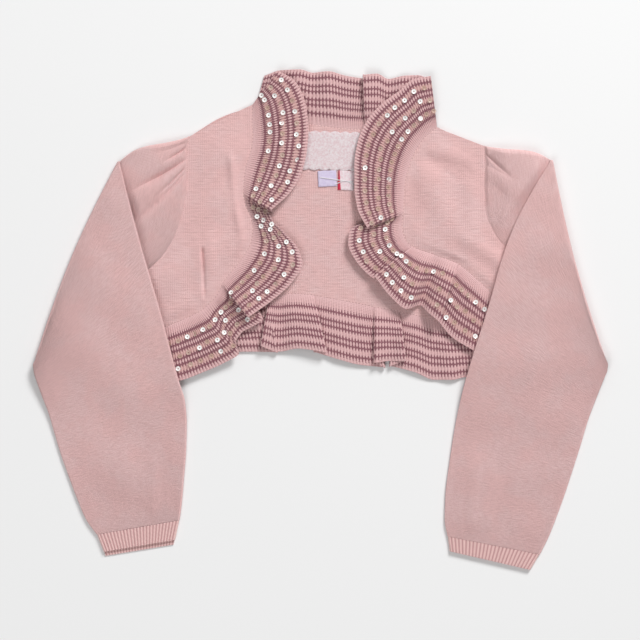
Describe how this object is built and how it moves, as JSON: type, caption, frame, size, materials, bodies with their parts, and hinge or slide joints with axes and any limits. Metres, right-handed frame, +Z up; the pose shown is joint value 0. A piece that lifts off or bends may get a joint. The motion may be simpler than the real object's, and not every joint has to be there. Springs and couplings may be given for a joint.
{
  "type": "child's cropped knitted cardigan with ruffled sequin band, laid flat",
  "caption": "Child's cropped rose knit cardigan laid open: ruffled striped rib band with sequins, puffed long sleeves folded back, ribbed cuffs.",
  "frame": {"origin": "under the middle of the whole garment, on the surface that it lies on", "axes": "+Z up out of the surface, +Y from the hem towards the neck, +X across the chest towards the wearer's left"},
  "size_m": [0.459, 0.4, 0.0109],
  "materials": {
    "rose_knit": "fine matt cotton jersey knit",
    "rose_rib": "matt one by one rib",
    "striped_rib": "one by one rib, rose with mauve stripes and small clear sequins",
    "label_cloth": "soft white woven label",
    "tab_lavender": "smooth woven tape",
    "tab_white": "smooth printed tape, left bare"
  },
  "bodies": {
    "root": {"back": "rose_knit", "front_right": "rose_knit", "front_left": "rose_knit", "sleeve_right": "rose_knit", "sleeve_left": "rose_knit", "cuff_right": "rose_rib", "cuff_left": "rose_rib", "band_neck": "striped_rib", "band_hem": "striped_rib", "band_front_right": "striped_rib", "band_front_left": "striped_rib", "label_neck": "label_cloth", "tab_size": "tab_lavender", "tab_care": "tab_white"}
  },
  "joints": []
}
